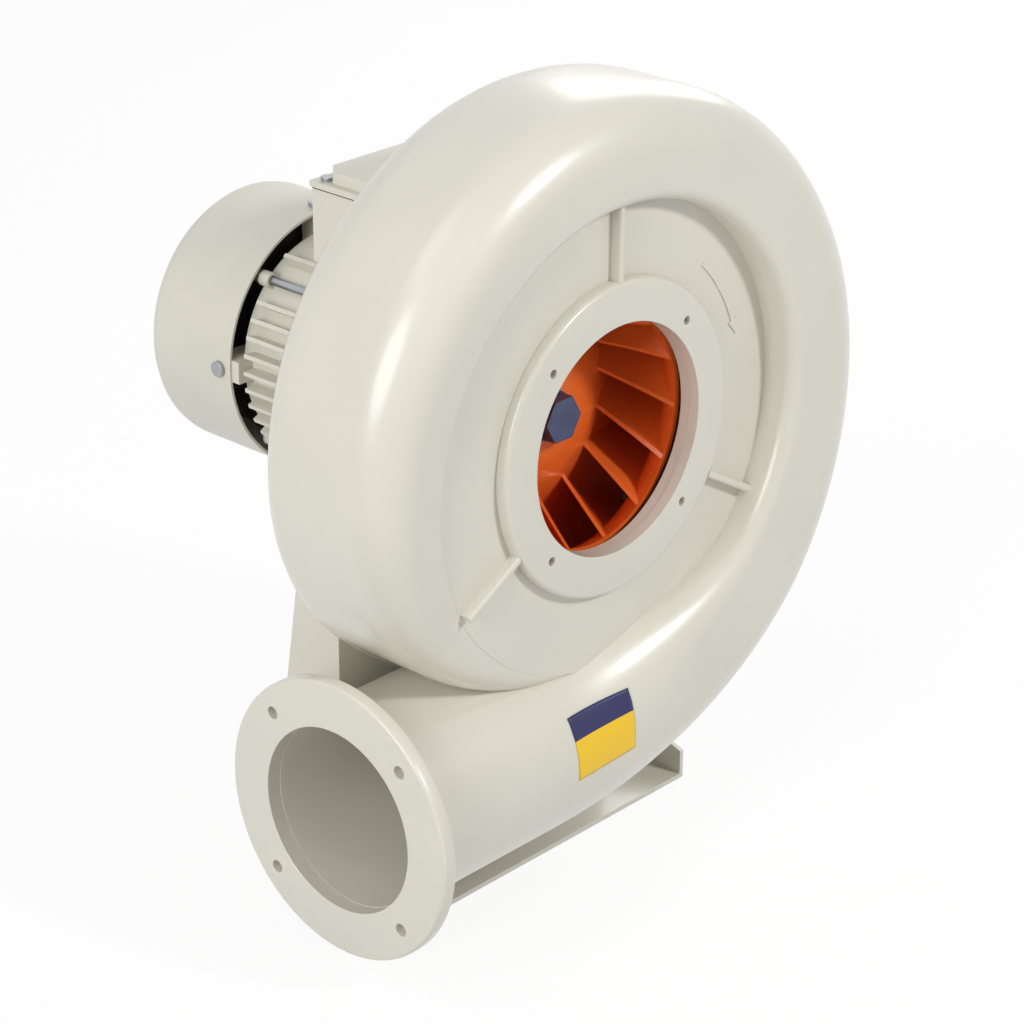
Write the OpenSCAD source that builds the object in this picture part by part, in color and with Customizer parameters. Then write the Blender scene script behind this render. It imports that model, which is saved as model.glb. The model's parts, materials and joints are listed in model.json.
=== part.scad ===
// Direct-drive centrifugal blower with a cast volute, a sheet-metal stand and a flange motor.
// Millimetres. The floor is z = 0, the shaft runs along Y above x = 0, and the casing's back lies at y = 0.
// The inlet faces -Y and the outlet faces -X.

/* [Casing] */
// Gap between the outlet flange and the floor
foot_gap = 8; // [4:0.5:30]
// Wall of the cast casing
casing_wall = 6; // [5:0.5:7]
// Radius of the scroll's upper left quarter
scroll_r = 182; // [178:1:190]
// Growth of the scroll's radius on the left
scroll_step_left = 13; // [8:1:16]
// Growth of the scroll's radius at the top
scroll_step_top = 18; // [14:1:22]
// Growth of the scroll's radius on the right
scroll_step_right = 6; // [3:1:9]
// Distance of the upper left quarter's centre from the shaft, right and up
scroll_offset = 5; // [3:1:7]
// Radius of the recess in the casing's front
recess_r = 131; // [126:1:134]
// Depth of the recess where the scroll is fullest
recess_depth = 21; // [16:1:24]
// Radius of the scroll's front edge where it starts
front_shoulder = 24; // [18:1:30]
// Radius of the scroll's back edge where it starts
back_shoulder = 44; // [36:1:50]

/* [Inlet] */
// Radius of the inlet bore
inlet_r = 65; // [60:0.5:66]
// Radius of the inlet collar
collar_r = 89; // [84:0.5:94]
// Height of the collar and the ribs above the front disc
collar_height = 7; // [5:0.5:9]
// Bolt circle of the inlet
inlet_pcd = 150; // [146:1:156]
// Radius of the inlet's tapped holes
inlet_hole_r = 2.5; // [2:0.1:3.2]
// Width of the front disc's ribs
rib_w = 4.5; // [3:0.5:6]

/* [Outlet] */
// Radius of the outlet bore
outlet_r = 52.5; // [50:0.5:55]
// Distance of the outlet's axis below the shaft
outlet_drop = 177.5; // [175:0.5:182]
// Distance of the outlet's face from the shaft
outlet_reach = 171.5; // [165:0.5:185]
// Radius of the outlet flange
outlet_flange_r = 79.5; // [76:0.5:84]
// Thickness of the outlet flange
outlet_flange_t = 9; // [7:0.5:11]
// Bolt circle of the outlet
outlet_pcd = 133; // [130:1:138]
// Radius of the outlet flange's holes
outlet_hole_r = 3.5; // [3:0.1:4.5]

/* [Rear cover] */
// Radius of the rear opening
opening_r = 139; // [138:0.5:142]
// Radius of the rear cover
cover_r = 152; // [150:0.5:154]
// Thickness of the rear cover's rim
cover_rim_t = 7; // [6:0.5:8]
// Thickness of the rear cover inside the opening
cover_t = 12; // [11:0.5:13]
// Thickness of the casing gasket
gasket_t = 1; // [0.5:0.1:1.5]
// Number of cover screws
cover_screws_n = 8; // [6:1:10]
// Radius of the cover screws
cover_screw_r = 3; // [2.5:0.1:3.5]

/* [Impeller] */
// Radius of the impeller
impeller_r = 133; // [128:1:135]
// Number of blades
blades_n = 14; // [10:1:16]
// Thickness of a blade
blade_t = 2; // [1.5:0.5:4]
// Thickness of the impeller's back plate and shroud
plate_t = 3; // [2:0.5:4]
// Lean of the blades, in degrees
blade_lean = 28; // [15:1:35]
// Width of the impeller at its outer edge
impeller_width = 28; // [24:1:32]
// Distance of the hub's nose from the casing's back
hub_nose = 52; // [50:0.5:54]
// Radius of the hub's nose
hub_nose_r = 18; // [17:0.5:20]

/* [Stand] */
// Width of the stand
stand_w = 222; // [214:1:240]
// Thickness of the stand's sheet
sheet_t = 3; // [2:0.5:4]
// Reach of the base plate in front of the casing's back
base_front = 62; // [58:1:70]
// Reach of the base plate behind the casing's back
base_back = 58; // [54:1:70]
// Height of the side flanges at the front edge
base_lip = 18; // [12:1:22]
// Depth of the side flanges at the shaft
flange_depth = 18; // [14:1:24]
// Height of the stand above the shaft
stand_top = 106; // [102:1:112]
// Spacing of the base slots across the stand
base_pitch_x = 160; // [150:1:176]
// Spacing of the base slots front to back
base_pitch_y = 76; // [70:1:84]
// Half width of a base slot
base_slot_r = 4.5; // [4:0.1:5.5]
// Length of a base slot
base_slot_l = 15; // [12:1:18]

/* [Motor] */
// Radius of the motor's mounting flange
flange_r = 100; // [98:0.5:104]
// Thickness of the mounting flange
flange_t = 10; // [8:0.5:12]
// Radius of the motor's pilot
pilot_r = 65; // [62:0.5:67]
// Bolt circle of the mounting flange
flange_pcd = 165; // [162:1:168]
// Radius of the flange bolts
flange_bolt_r = 5; // [4:0.1:5.5]
// Radius of the motor frame's bore
frame_bore_r = 61; // [60:0.5:61.5]
// Wall of the motor frame
frame_wall = 3.5; // [3:0.5:4.5]
// Height of the cooling fins
fin_h = 8.5; // [6:0.5:9]
// Thickness of a cooling fin
fin_t = 2.5; // [2:0.1:3.2]
// Number of fins around the whole frame
fins_n = 44; // [36:4:48]
// Length of the motor frame
frame_l = 86; // [84:1:96]
// Outer radius of the fan cowl
cowl_r = 77; // [76.5:0.5:80]
// Wall of the fan cowl
cowl_wall = 1.5; // [1:0.1:2]
// Length of the fan cowl
cowl_l = 70.5; // [68:0.5:76]
// Radius of the shaft at the impeller
shaft_r = 12; // [11:0.25:12.25]
// Radius of the cooling fan
fan_r = 64; // [58:1:66]
// Number of fan blades
fan_blades_n = 8; // [6:1:10]

/* [Terminal box] */
// Width of the terminal box
box_w = 92; // [86:1:96]
// Length of the terminal box along the shaft
box_l = 66; // [62:1:68]
// Height of the terminal box without its lid
box_h = 42; // [38:1:44]
// Height of the lid
lid_h = 10; // [8:0.5:13]
// Wall of the terminal box
box_wall = 3; // [2.5:0.1:3.5]
// Radius of the cable entry
gland_bore_r = 5; // [4:0.5:6]

/* [Hidden] */
$fn = 64;

// Finishes
enamel = "#D9D6CA";
orange = "#DE6529";
steel = "#9A9CA0";
dark_steel = "#2E3442";
black = "#222222";
brass = "#B8923A";
copper = "#B4683A";
bare_aluminium = "#B9BBBD";

// Sides of a hexagon, and pieces set a quarter turn apart
hexagon = 6;
quarters = 4;
// How far a cut runs past the solid it cuts
over = 1;
// Clearance of pieces that slip together
slip = 0.02;
// Clearance of a screw in its hole
screw_gap = 0.4;
// Clearance between turning and standing bearing parts
running_gap = 0.13;
// How far a joining surface stays off its neighbour, so that none coincide
seam = 0.3;

// Derived sizes of the casing
shaft_height = outlet_drop + outlet_flange_r + foot_gap;
duct_r = outlet_r + casing_wall;
casing_depth = 2 * duct_r;
disc_level = casing_depth - recess_depth;
cover_seat = cover_rim_t + gasket_t;
lip_t = casing_wall;
rim_wall = 6;
rear_ring_r = cover_r + rim_wall;
cover_fit = 0.4;
tongue_angle = 225;
half_turn = 180;
quarter_turn = 90;
eighth_turn = 45;
bottom = -quarter_turn;

// Crest of the scroll above the front disc where the scroll starts
crest_start = 1.2;
// Radius of the recess's edge
rim_edge = 3;
// Where the crest has reached its full height, in degrees
full_crest = 20;
// Where the scroll's section starts to turn round, in degrees
blend_start = -35;
// Growth of the edge radii up to the full crest: front shoulder, back shoulder and recess edge
shoulder_growth = 10;
rim_growth = 6;
// Most of the section's width that one corner may take, as a share
corner_share = 0.7;
// How far the first quarter runs on into the duct, in degrees
scroll_overlap = 30;
// Angle between two sections of the scroll
scroll_turn = 9;
// Flats in a quarter of a section's corner
corner_steps = 4;
// Flats round a screw hole in the casing
screw_hole_flats = 24;

arc_a = [[scroll_offset - scroll_step_left, scroll_offset], scroll_r - scroll_step_left];
arc_b = [[scroll_offset, scroll_offset], scroll_r];
arc_c = [[scroll_offset, scroll_offset - scroll_step_top], scroll_r + scroll_step_top];
arc_d = [arc_c[0] - [scroll_step_right, 0], arc_c[1] + scroll_step_right];
arc_shift = (outlet_drop + duct_r - seam + arc_d[0][1] - arc_d[1]) / (1 - cos(eighth_turn));
arc_e = [arc_d[0] + arc_shift * [-cos(eighth_turn), sin(eighth_turn)], arc_d[1] + arc_shift];
duct_l = outlet_reach - outlet_flange_t + arc_e[0][0];

function mix(a, b, t) = a + (b - a) * t;
function clamp(t) = max(0, min(1, t));
function smooth(t) = let (c = clamp(t)) c * c * (3 - 2 * c);
function growth(a) = clamp((tongue_angle - a) / (tongue_angle - full_crest));
function rounding(a) = smooth((blend_start - a) / (blend_start - bottom));
// Distance from a point to the circle of radius r about the shaft, along angle a
function reach(c, a, r) =
    let (along = c[0] * cos(a) + c[1] * sin(a))
    sqrt(along * along - c * c + r * r) - along;
// The quarter arc that holds angle a
function arc_at(a) =
    a > half_turn ? arc_a : a > quarter_turn ? arc_b : a > 0 ? arc_c : a > -eighth_turn ? arc_d : arc_e;
// Points of a rounded corner about a centre
function corner(c, r, first) =
    [for (i = [0:corner_steps]) c + r * [cos(first + quarter_turn * i / corner_steps),
                                         sin(first + quarter_turn * i / corner_steps)]];
// Outline of the scroll at angle a, as [distance from the arc's centre, height above the casing's back].
// wall is 0 for the outside and the casing's wall for the passage.
function scroll_section(a, wall) =
    let (arc = arc_at(a),
         g = growth(a),
         t = rounding(a),
         full = duct_r - seam,
         end_r = full - seam,
         outer = arc[1] - wall,
         inner = mix(reach(arc[0], a, recess_r), arc[1] - 2 * full, t) + wall,
         top = mix(disc_level + crest_start, casing_depth - seam, g) - wall,
         base = seam + wall,
         room = outer - inner - seam,
         r_front = min(mix(front_shoulder + shoulder_growth * g, end_r, t) - wall, room * corner_share),
         r_back = min(mix(back_shoulder + shoulder_growth * g, end_r, t) - wall, room * corner_share),
         r_edge = max(rim_edge, mix(rim_edge + rim_growth * g, end_r, t) - wall),
         r_rim = min(r_edge, room - r_front),
         r_root = min(r_edge, room - r_back))
    concat(corner([inner + r_root, base + r_root], r_root, half_turn),
           corner([outer - r_back, base + r_back], r_back, half_turn + quarter_turn),
           corner([outer - r_front, top - r_front], r_front, 0),
           corner([inner + r_rim, top - r_rim], r_rim, quarter_turn));
// The same outline in space, with an optional shift along the duct
function scroll_ring(a, wall, shift) =
    let (arc = arc_at(a))
    [for (p = scroll_section(a, wall))
        [arc[0][0] + p[0] * cos(a) - shift, arc[0][1] + p[0] * sin(a), p[1]]];
// Faces of a closed loft of the given number of rings, with n points each
function loft_faces(rings, n) =
    let (e = (rings - 1) * n)
    concat(
        [for (i = [0:rings - 2], j = [0:n - 1]) each let (k = (j + 1) % n, p = i * n)
            [[p + j, p + n + k, p + k], [p + j, p + n + j, p + n + k]]],
        [for (j = [1:n - 2]) each [[0, j, j + 1], [e, e + j + 1, e + j]]]);

// Cover screws, countersunk into the cover's rim
cover_screw_circle = (opening_r + cover_r) / 2;
cover_screw_grip = lip_t - over;
cover_head_r = 2 * cover_screw_r;

// Sizes of the front disc's raised arrow
arrow_r = 107;
arrow_w = 2.4;
arrow_h = 0.8;
arrow_first = 21;
arrow_sweep = 26;
arrow_head_l = 9;
arrow_head_w = 7;
rib_angles = [quarter_turn, -30, 210];

// Derived places of the motor along the shaft, measured back from the casing's back
flange_face = sheet_t;
pilot_l = 4;
pilot_depth = 1.5;
shield_l = 23;
frame_front = flange_face + shield_l;
frame_back = frame_front + frame_l;
frame_r = frame_bore_r + frame_wall;
fin_r = frame_r + fin_h;
spigot_l = 5;
spigot_wall = 3.5;

// Ball bearings of 25 mm bore
bearing_bore_r = 12.5;
bearing_outer_r = 26;
bearing_w = 15;
race_t = 4;
ball_r = 3.97;
balls_n = 9;
cage_t = 2.6;
cage_w = 9;
pocket_gap = 0.1;
bearing_pitch_r = (bearing_bore_r + bearing_outer_r) / 2;
front_inset = 11;
rear_inset = 6;
front_bearing = flange_face + front_inset;
rear_bearing = frame_back - rear_inset;
preload_t = 1;
rear_seat_back = rear_bearing + bearing_w + preload_t;
rear_cap_t = 3;
hub_wall = 8;

// Shaft and rotor
core_in_front = 18;
core_in_back = 16;
core_front = frame_front + core_in_front;
core_back = frame_back - core_in_back;
core_step = 3.5;
shoulder_step = 2.5;
core_seat_r = bearing_bore_r + core_step;
shoulder_r = bearing_bore_r + shoulder_step;
stator_bore_r = 37;
air_gap = 0.4;
rotor_r = stator_bore_r - air_gap;
end_ring_l = 6;
end_ring_in = 22;
winding_l = 10.5;
winding_in = 40;
winding_out = 57;
shaft_end = 49;
fan_seat_r = 9;
fan_gap = 14;
fan_front = rear_bearing + bearing_w + fan_gap;
fan_hub_l = 30;
circlip_t = 1.2;
shaft_tail = fan_front + fan_hub_l + 3 * circlip_t;
spacer_r = 17;
hub_gap = 1.5;
hub_back = cover_t + hub_gap;
key_w = 8;
key_h = 7;
key_l = 28;
key_sunk = 4;
key_front = 46;
bolt_r = 6;
bolt_hole_l = 26;
bolt_head_r = 13.86;
bolt_head_h = 8;
washer_r = 14.5;
washer_t = 3;

// Rear shield and cowl
rear_disc_t = 8;
cowl_gap = 6.5;
cowl_front = frame_back + cowl_gap;
cowl_back = cowl_front + cowl_l;
cowl_bend = 10;
lug_w = 13;
lug_l = 20;
cowl_bore_r = cowl_r - cowl_wall;
lug_r = cowl_bore_r - slip;
lug_in = 54;
cowl_screw_in = 8.5;
cowl_screw_y = cowl_front + cowl_screw_in;
cowl_screw_r = 2.4;
cowl_screw_head_r = 4.6;
cowl_screw_head_h = 2.6;
cowl_screw_l = 10;
tie_r = 2.5;
tie_step = 3.5;
tie_circle_r = frame_r + tie_step;
tie_boss_r = 4.5;
tie_head_r = 4.6;
tie_head_h = 3.5;
grille_slot = 4;
grille_pitch = 8;
grille_first = 14;
grille_rings = 5;
grille_bar = 6;

// Terminal box
pad_w = 60;
pad_top = 66;
box_gap = 2;
box_front = flange_face + flange_t + box_gap;
box_mid = box_front + box_l / 2;
pad_inset = 2;
pad_l = 2 * (box_mid - frame_front - pad_inset);
seal_t = 1;
box_floor_z = pad_top + seal_t;
box_top_z = box_floor_z + box_h;
lid_z = box_top_z + seal_t;
lid_lap = 1;
lid_step = 4;
lid_step_h = 3.5;
lid_wall = 2.5;
lid_boss = 11;
lid_screw_r = 2;
lid_screw_head_r = 3.8;
lid_screw_head_h = 2.2;
lid_screw_in = 6;
lid_screw_l = 20;
box_screw_side = 8;
box_screw_end = 4;
box_screw_x = pad_w / 2 - box_screw_side;
box_screw_y = pad_l / 2 - box_screw_end;
wire_hole_r = 10;
block_w = 44;
block_l = 30;
block_h = 10;
stud_pitch = 15;
stud_row = 9;
stud_r = 2;
stud_h = 12;
nut_r = 4;
nut_h = 3;
link_t = 1;
gland_thread_r = 10;
gland_hex_r = 13.9;
gland_hex_t = 5;
gland_body_l = 12;
gland_cap_r = 12.4;
gland_cap_l = 12;
gland_lip_t = 3;
gland_seal_r = 8;
gland_z = box_floor_z + box_h / 2;
gland_x = box_w / 2;
cap_gap = 0.1;

// Places its children on the shaft axis: their z runs forward, towards the inlet
module on_shaft() translate([0, 0, shaft_height]) rotate([quarter_turn, 0, 0]) children();
// A solid of revolution from points of radius and distance behind the casing's back
module turned(points) on_shaft() rotate_extrude() polygon([for (p = points) [p[0], -p[1]]]);
// A plain ring about the shaft from y0 to y1
module ring(y0, y1, r_in, r_out) turned([[r_in, y0], [r_out, y0], [r_out, y1], [r_in, y1]]);
// A round bar along the shaft's direction, for use inside on_shaft or around
module bar(y0, y1, r) translate([0, 0, -y1]) cylinder(h = y1 - y0, r = r);
// Copies of the children on a circle about the shaft
module around(n, first, r)
    on_shaft() for (i = [0:n - 1]) rotate([0, 0, first + 2 * half_turn * i / n]) translate([r, 0, 0]) children();
// A hexagonal bar along the shaft's direction
module hex_bar(y0, y1, r) translate([0, 0, -y1]) cylinder(h = y1 - y0, r = r, $fn = hexagon);
// A flat bar standing on z = z0, centred on x and y
module block(w, l, h, x, y, z0) translate([x - w / 2, y - l / 2, z0]) cube([w, l, h]);

// The rings of the scroll from one angle to another, with wall as for scroll_section
function scroll_rings(first, last, wall) =
    let (turns = ceil((first - last) / scroll_turn))
    [for (i = [0:turns]) scroll_ring(mix(first, last, i / turns), wall, 0)];
module loft(rings)
    polyhedron([for (r = rings) each r], loft_faces(len(rings), len(rings[0])), convexity = 10);
// The scroll's solid start, which runs on into the duct, and its outside up to the outlet flange
module scroll() {
    loft(scroll_rings(tongue_angle + scroll_overlap, tongue_angle - scroll_turn, seam));
    loft(concat(scroll_rings(tongue_angle, bottom, 0), [scroll_ring(bottom, 0, duct_l)]));
}
module passage()
    loft(concat(scroll_rings(tongue_angle, bottom, casing_wall), [scroll_ring(bottom, casing_wall, duct_l + over)]));
// A round bar along the outlet's axis, from x0 leftwards to x1, in the shaft's frame
module outlet_bar(x0, x1, r)
    translate([x0, -outlet_drop, duct_r]) rotate([0, -quarter_turn, 0]) cylinder(h = x0 - x1, r = r);
// The raised arrow that shows the direction of rotation
module arrow() {
    translate([0, 0, disc_level - over]) linear_extrude(height = arrow_h + over) {
        difference() {
            circle(r = arrow_r + arrow_w / 2);
            circle(r = arrow_r - arrow_w / 2);
            rotate(arrow_first) translate([-2 * arrow_r, -2 * arrow_r]) square([4 * arrow_r, 2 * arrow_r]);
            rotate(arrow_first + arrow_sweep) translate([-2 * arrow_r, 0]) square([4 * arrow_r, 2 * arrow_r]);
        }
        rotate(arrow_first) translate([arrow_r, 0])
            polygon([[-arrow_head_w / 2, over], [arrow_head_w / 2, over], [0, -arrow_head_l]]);
    }
}
// The casing: the scroll, the front disc with its ribs and arrow, and the rear cover's seat
module volute_casing() color(enamel) on_shaft() resize([0, 0, 0]) difference() {
    union() {
        scroll();
        translate([0, 0, disc_level - casing_wall]) cylinder(h = casing_wall, r = recess_r + casing_wall / 2);
        cylinder(h = cover_seat + lip_t, r = rear_ring_r);
        for (a = rib_angles) rotate([0, 0, a]) translate([collar_r + seam, -rib_w / 2, disc_level - over])
            cube([recess_r - collar_r + over, rib_w, collar_height + over / 2]);
        arrow();
    }
    translate([0, 0, -over]) cylinder(h = disc_level - casing_wall + over, r = opening_r);
    translate([0, 0, -over]) cylinder(h = cover_seat + over, r = cover_r + cover_fit);
    cylinder(h = casing_depth, r = inlet_r + seam);
    passage();
    for (i = [0:cover_screws_n - 1]) rotate([0, 0, 2 * half_turn * (i + 1 / 2) / cover_screws_n])
        translate([cover_screw_circle, 0, 0])
            cylinder(h = cover_seat + cover_screw_grip, r = cover_screw_r + seam, $fn = screw_hole_flats);
}
// Raised collar round the inlet, with the tapped holes
module inlet_collar() color(enamel) on_shaft() difference() {
    translate([0, 0, disc_level]) cylinder(h = collar_height, r = collar_r);
    translate([0, 0, disc_level - over]) cylinder(h = collar_height + 2 * over, r = inlet_r);
    for (i = [1:quarters]) rotate([0, 0, eighth_turn + quarter_turn * i])
        translate([inlet_pcd / 2, 0, disc_level - over])
            cylinder(h = collar_height + 2 * over, r = inlet_hole_r);
}
// Flange at the end of the duct
module outlet_flange() color(enamel) on_shaft() difference() {
    outlet_bar(-outlet_reach + outlet_flange_t, -outlet_reach, outlet_flange_r);
    outlet_bar(-outlet_reach + outlet_flange_t + over, -outlet_reach - over, outlet_r);
    for (i = [1:quarters]) translate([0, -outlet_drop, duct_r]) rotate([eighth_turn + quarter_turn * i, 0, 0])
        translate([-outlet_reach - over, outlet_pcd / 2, 0]) rotate([0, quarter_turn, 0])
            cylinder(h = outlet_flange_t + 2 * over, r = outlet_hole_r);
}

module at_cover_screws() around(cover_screws_n, half_turn / cover_screws_n, cover_screw_circle) children();
module casing_gasket() color(black) difference() {
    ring(-cover_seat, -cover_rim_t, opening_r + cover_fit, cover_r);
    at_cover_screws() bar(-cover_seat - over, -cover_rim_t + over, cover_screw_r + screw_gap);
}
module rear_cover() color(enamel) difference() {
    turned([[spacer_r + over, -cover_t], [opening_r - cover_fit, -cover_t], [opening_r - cover_fit, -cover_rim_t],
            [cover_r, -cover_rim_t], [cover_r, 0], [pilot_r + slip, 0], [pilot_r + slip, -pilot_depth],
            [spacer_r + over, -pilot_depth]]);
    at_cover_screws() {
        bar(-cover_seat, over, cover_screw_r + screw_gap);
        translate([0, 0, -slip]) cylinder(h = cover_head_r - cover_screw_r, r1 = cover_head_r, r2 = cover_screw_r);
    }
    at_flange_bolts() bar(-flange_bolt_in, over, flange_bolt_r);
}
module cover_screws() color(steel) at_cover_screws() {
    bar(-cover_seat - cover_screw_grip, 0, cover_screw_r - slip);
    cylinder(h = cover_head_r - cover_screw_r, r1 = cover_head_r - slip, r2 = cover_screw_r - slip);
}

flange_bolt_in = 9;
flange_washer_t = 2;
flange_washer_r = 9.6;
flange_head_h = 6.4;
flange_head_r = 9.2;
flange_back = flange_face + flange_t;
module at_flange_bolts() around(quarters, eighth_turn, flange_pcd / 2) children();
module flange_washers() color(steel) difference() {
    at_flange_bolts() bar(flange_back, flange_back + flange_washer_t, flange_washer_r);
    at_flange_bolts() bar(flange_back - over, flange_back + flange_washer_t + over, flange_bolt_r + screw_gap);
}
module flange_bolts() color(steel) at_flange_bolts() {
    bar(-flange_bolt_in, flange_back + flange_washer_t + over, flange_bolt_r - slip);
    hex_bar(flange_back + flange_washer_t, flange_back + flange_washer_t + flange_head_h, flange_head_r);
}

// The folded and welded stand
stand_shoulder = 60;
stand_corner = 34;
lip_rise = 40;
heel = 12;
module pedestal() color(enamel) difference() {
    union() {
        rotate([quarter_turn, 0, 0]) translate([0, 0, -sheet_t]) linear_extrude(height = sheet_t) polygon([
            [-stand_w / 2, 0], [stand_w / 2, 0],
            [stand_w / 2, shaft_height + stand_top - stand_corner],
            [stand_w / 2 - stand_corner, shaft_height + stand_top],
            [-stand_w / 2 + stand_corner, shaft_height + stand_top],
            [-stand_w / 2, shaft_height + stand_top - stand_corner]]);
        translate([-stand_w / 2, -base_front, 0]) cube([stand_w, base_front + base_back, sheet_t]);
        for (x = [-stand_w / 2, stand_w / 2 - sheet_t]) translate([x, 0, 0])
            rotate([quarter_turn, 0, quarter_turn]) linear_extrude(height = sheet_t) polygon([
                [-base_front, 0], [base_back, 0], [base_back, heel], [flange_depth, shaft_height],
                [flange_depth, shaft_height + stand_shoulder], [0, shaft_height + stand_shoulder],
                [0, lip_rise], [-base_front, base_lip]]);
    }
    on_shaft() bar(-over, sheet_t + over, pilot_r + screw_gap);
    at_flange_bolts() bar(-over, sheet_t + over, flange_bolt_r + screw_gap);
    for (x = [-1, 1], y = [-1, 1]) translate([x * base_pitch_x / 2, y * base_pitch_y / 2, -over]) {
        for (s = [-1, 1]) translate([s * (base_slot_l / 2 - base_slot_r), 0, 0])
            cylinder(h = sheet_t + 2 * over, r = base_slot_r);
        translate([base_slot_r - base_slot_l / 2, -base_slot_r, 0])
            cube([base_slot_l - 2 * base_slot_r, 2 * base_slot_r, sheet_t + 2 * over]);
    }
}

// Drive-end shield with the mounting flange, the seal's seat and the front bearing's seat
seal_seat_r = 25;
seal_l = 7;
seal_gap = 2;
seal_back = front_bearing - seal_gap;
shield_web = 4;
module drive_end_shield() color(enamel) difference() {
    union() {
        turned([[spacer_r + over, flange_face - pilot_l], [pilot_r, flange_face - pilot_l],
                [pilot_r, flange_face], [flange_r, flange_face], [flange_r, flange_back], [frame_r, flange_back],
                [frame_r, frame_front], [frame_bore_r, frame_front], [frame_bore_r, frame_front + spigot_l],
                [frame_bore_r - spigot_wall, frame_front + spigot_l],
                [frame_bore_r - spigot_wall, flange_back + shield_web],
                [bearing_outer_r + hub_wall, flange_back + shield_web],
                [bearing_outer_r + hub_wall, front_bearing + bearing_w + over],
                [bearing_outer_r, front_bearing + bearing_w + over], [bearing_outer_r, front_bearing],
                [spacer_r + over, front_bearing]]);
        at_tie_bolts() bar(flange_back - over, frame_front - seam, tie_boss_r);
    }
    on_shaft() bar(flange_face - pilot_l - over, seal_back, seal_seat_r);
    at_flange_bolts() bar(flange_face - over, flange_back + over, flange_bolt_r + screw_gap);
    at_tie_bolts() bar(flange_back + over, frame_front + over, tie_r);
}
module shaft_seal() color(black) ring(seal_back - seal_l, seal_back, spacer_r + running_gap, seal_seat_r);
module at_tie_bolts() around(quarters, eighth_turn, tie_circle_r) children();

// Finned motor frame with the terminal box's pad on top
pad_angle = 28;
module motor_frame() color(enamel) difference() {
    union() {
        ring(frame_front, frame_back, frame_bore_r, frame_r);
        on_shaft() for (i = [0:fins_n - 1]) let (a = 2 * half_turn * i / fins_n) {
            if (cos(a - quarter_turn) < cos(pad_angle) && abs(tie_offset(a)) > tie_clear)
                rotate([0, 0, a]) translate([frame_bore_r + frame_wall / 2, -fin_t / 2, seam - frame_back])
                    cube([fin_r - frame_bore_r - frame_wall / 2, fin_t, frame_l - 2 * seam]);
        }
        block(pad_w, pad_l, pad_top - pad_root, 0, box_mid, shaft_height + pad_root);
    }
    on_shaft() bar(frame_front - over, frame_back + over, frame_bore_r);
    at_box_screws() cylinder(h = 2 * box_screw_l, r = box_screw_r, center = true);
    translate([0, box_mid, shaft_height]) cylinder(h = pad_top + over, r = wire_hole_r);
}
// Where the pad starts, inside the bore that is cut after it
pad_root = 50;
box_screw_l = 8;
box_screw_r = 2;
tie_clear = 5;
// Angle from the nearest tie bolt
function tie_offset(a) = ((a % quarter_turn) - eighth_turn);
module at_box_screws() for (x = [-box_screw_x, box_screw_x], y = [-box_screw_y, box_screw_y])
    translate([x, box_mid + y, shaft_height + pad_top]) children();

module stator_core() color(steel) ring(core_front, core_back, stator_bore_r, frame_bore_r);
module stator_windings() color(copper) {
    for (y = [core_front - winding_l, core_back]) ring(y, y + winding_l, winding_in, winding_out);
}
module rear_end_shield() color(enamel) difference() {
    union() {
        turned([[fan_seat_r + over, rear_seat_back], [fan_seat_r + over, rear_seat_back + rear_cap_t],
                [bearing_outer_r + hub_wall, rear_seat_back + rear_cap_t],
                [bearing_outer_r + hub_wall, frame_back + rear_disc_t], [frame_r, frame_back + rear_disc_t],
                [frame_r, frame_back], [frame_bore_r, frame_back], [frame_bore_r, frame_back - spigot_l],
                [frame_bore_r - spigot_wall, frame_back - spigot_l], [frame_bore_r - spigot_wall, frame_back],
                [bearing_outer_r + hub_wall, frame_back], [bearing_outer_r + hub_wall, rear_bearing - over],
                [bearing_outer_r, rear_bearing - over], [bearing_outer_r, rear_seat_back]]);
        on_shaft() for (i = [1:quarters]) rotate([0, 0, quarter_turn * i])
            intersection() {
                translate([lug_in, -lug_w / 2, -frame_back - lug_l]) cube([lug_r, lug_w, lug_l - over]);
                bar(frame_back, frame_back + 2 * lug_l, lug_r);
            }
        at_tie_bolts() bar(frame_back + seam, frame_back + rear_disc_t - seam, tie_boss_r);
    }
    at_tie_bolts() bar(frame_back - over, frame_back + rear_disc_t + over, tie_r + screw_gap);
    at_cowl_screws() bar_out(lug_r - cowl_screw_l, lug_r + over, cowl_screw_r);
}
module tie_bolts() color(steel) at_tie_bolts() {
    bar(flange_back + over, frame_back + rear_disc_t + over, tie_r - slip);
    hex_bar(frame_back + rear_disc_t, frame_back + rear_disc_t + tie_head_h, tie_head_r);
}
// Places children at the cowl screws, with z running outwards
module at_cowl_screws() on_shaft() for (i = [1:quarters]) rotate([0, 0, quarter_turn * i])
    translate([0, 0, -cowl_screw_y]) rotate([0, quarter_turn, 0]) children();
module bar_out(r0, r1, r) translate([0, 0, r0]) cylinder(h = r1 - r0, r = r);

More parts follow.
